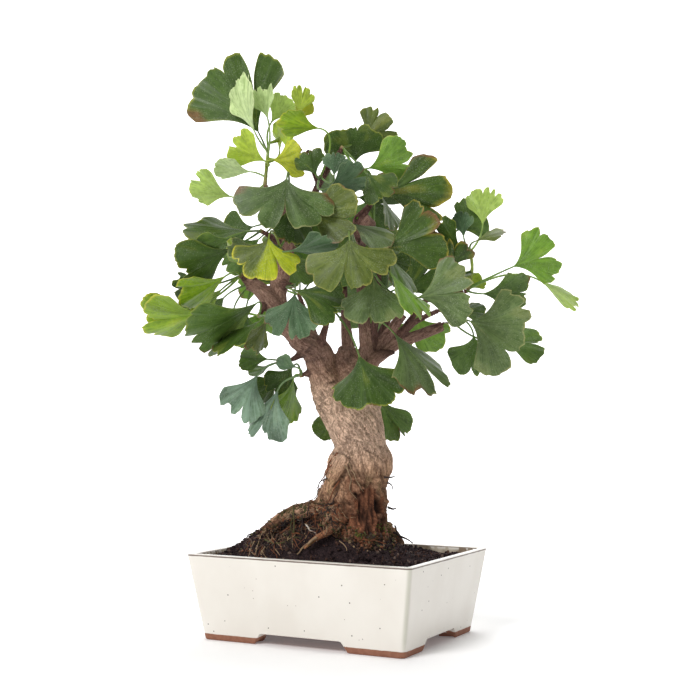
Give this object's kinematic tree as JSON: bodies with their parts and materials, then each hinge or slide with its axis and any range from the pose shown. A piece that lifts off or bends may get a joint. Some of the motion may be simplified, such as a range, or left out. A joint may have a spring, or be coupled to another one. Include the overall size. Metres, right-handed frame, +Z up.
{
  "type": "ginkgo bonsai",
  "caption": "Ginkgo bonsai with a thick tapering trunk, bare surface roots and fan-shaped leaves, standing in a rectangular glazed pot on corner feet.",
  "frame": {"origin": "bottom centre of the whole plant's bounding box, at the level the pot's feet stand on", "axes": "+Z up, along the tree's height; +X along the pot's long side; the pot's front towards -Y"},
  "size_m": [0.3316, 0.2626, 0.4887],
  "materials": {
    "glaze": "opaque cream stoneware glaze, glossy, bare clay on the feet",
    "soil": "dark crumbly soil, matt",
    "bark": "light brown fissured bark, matt",
    "leaf": "green leaf, satin"
  },
  "bodies": {
    "root": {"pot": "glaze", "soil": "soil", "spray_back_far": "leaf", "spray_back_heart": "leaf", "spray_back_left": "leaf", "spray_back_limb": "leaf", "spray_back_low": "leaf", "spray_back_neck": "leaf", "spray_back_right": "leaf", "spray_back_top": "leaf", "spray_centre": "leaf", "spray_fork": "leaf", "spray_forward": "leaf", "spray_front": "leaf", "spray_heart": "leaf", "spray_left_crown": "leaf", "spray_left_upper": "leaf", "spray_limb_end": "leaf", "spray_limb_low": "leaf", "spray_middle_spur": "leaf", "spray_neck_left": "leaf", "spray_neck_low": "leaf", "spray_right_far": "leaf", "spray_right_low": "leaf", "spray_right_stem": "leaf", "spray_top_shoot": "leaf", "spray_trunk_back": "leaf", "spray_upper_right": "leaf", "spray_upper_spur": "leaf", "wood": "bark"}
  },
  "joints": []
}
